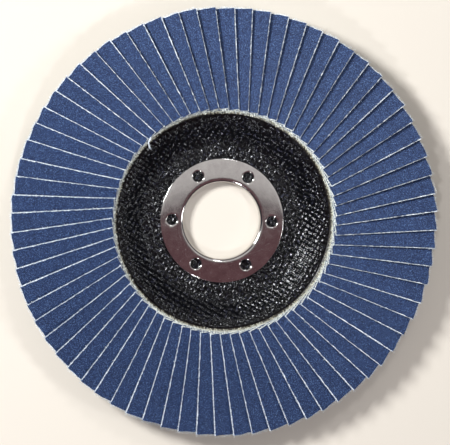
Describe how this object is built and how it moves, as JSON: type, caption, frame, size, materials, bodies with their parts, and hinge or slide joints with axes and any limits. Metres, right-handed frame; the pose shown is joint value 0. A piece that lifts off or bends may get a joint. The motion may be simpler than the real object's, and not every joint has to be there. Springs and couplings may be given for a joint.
{
  "type": "abrasive flap disc",
  "caption": "Radial abrasive flap disc for an angle grinder: overlapping blue coated-cloth flaps on a black dished glass-fibre plate with a stamped steel bore ring.",
  "frame": {"origin": "on the bore axis, in the plane that the hub's back rests on", "axes": "+Z along the bore axis, out of the abrasive face; +X and +Y in the disc's plane"},
  "size_m": [0.1248, 0.1248, 0.0098],
  "materials": {
    "ring_steel": "zinc plated, pressed",
    "plate_laminate": "black resin over woven glass cloth",
    "plate_core": "resin-bonded glass cloth",
    "adhesive": "cured epoxy",
    "label_paper": "coated paper, plain",
    "flap_cloth": "finished cotton-polyester cloth, frayed where cut",
    "abrasive_grain": "fine blue abrasive grain in resin, matt"
  },
  "bodies": {
    "root": {"bore_ring": "ring_steel", "plate_front_ply": "plate_laminate", "plate_core_ply_1": "plate_core", "plate_core_ply_2": "plate_core", "plate_rear_ply": "plate_laminate", "adhesive_bed": "adhesive", "back_label": "label_paper", "flap_cloth_01": "flap_cloth", "flap_cloth_02": "flap_cloth", "flap_cloth_03": "flap_cloth", "flap_cloth_04": "flap_cloth", "flap_cloth_05": "flap_cloth", "flap_cloth_06": "flap_cloth", "flap_cloth_07": "flap_cloth", "flap_cloth_08": "flap_cloth", "flap_cloth_09": "flap_cloth", "flap_cloth_10": "flap_cloth", "flap_cloth_11": "flap_cloth", "flap_cloth_12": "flap_cloth", "flap_cloth_13": "flap_cloth", "flap_cloth_14": "flap_cloth", "flap_cloth_15": "flap_cloth", "flap_cloth_16": "flap_cloth", "flap_cloth_17": "flap_cloth", "flap_cloth_18": "flap_cloth", "flap_cloth_19": "flap_cloth", "flap_cloth_20": "flap_cloth", "flap_cloth_21": "flap_cloth", "flap_cloth_22": "flap_cloth", "flap_cloth_23": "flap_cloth", "flap_cloth_24": "flap_cloth", "flap_grain_01": "abrasive_grain", "flap_grain_02": "abrasive_grain", "flap_grain_03": "abrasive_grain", "flap_grain_04": "abrasive_grain", "flap_grain_05": "abrasive_grain", "flap_grain_06": "abrasive_grain", "flap_grain_07": "abrasive_grain", "flap_grain_08": "abrasive_grain", "flap_grain_09": "abrasive_grain", "flap_grain_10": "abrasive_grain", "flap_grain_11": "abrasive_grain", "flap_grain_12": "abrasive_grain", "flap_grain_13": "abrasive_grain", "flap_grain_14": "abrasive_grain", "flap_grain_15": "abrasive_grain", "flap_grain_16": "abrasive_grain", "flap_grain_17": "abrasive_grain", "flap_grain_18": "abrasive_grain", "flap_grain_19": "abrasive_grain", "flap_grain_20": "abrasive_grain", "flap_grain_21": "abrasive_grain", "flap_grain_22": "abrasive_grain", "flap_grain_23": "abrasive_grain", "flap_grain_24": "abrasive_grain"}
  },
  "joints": []
}
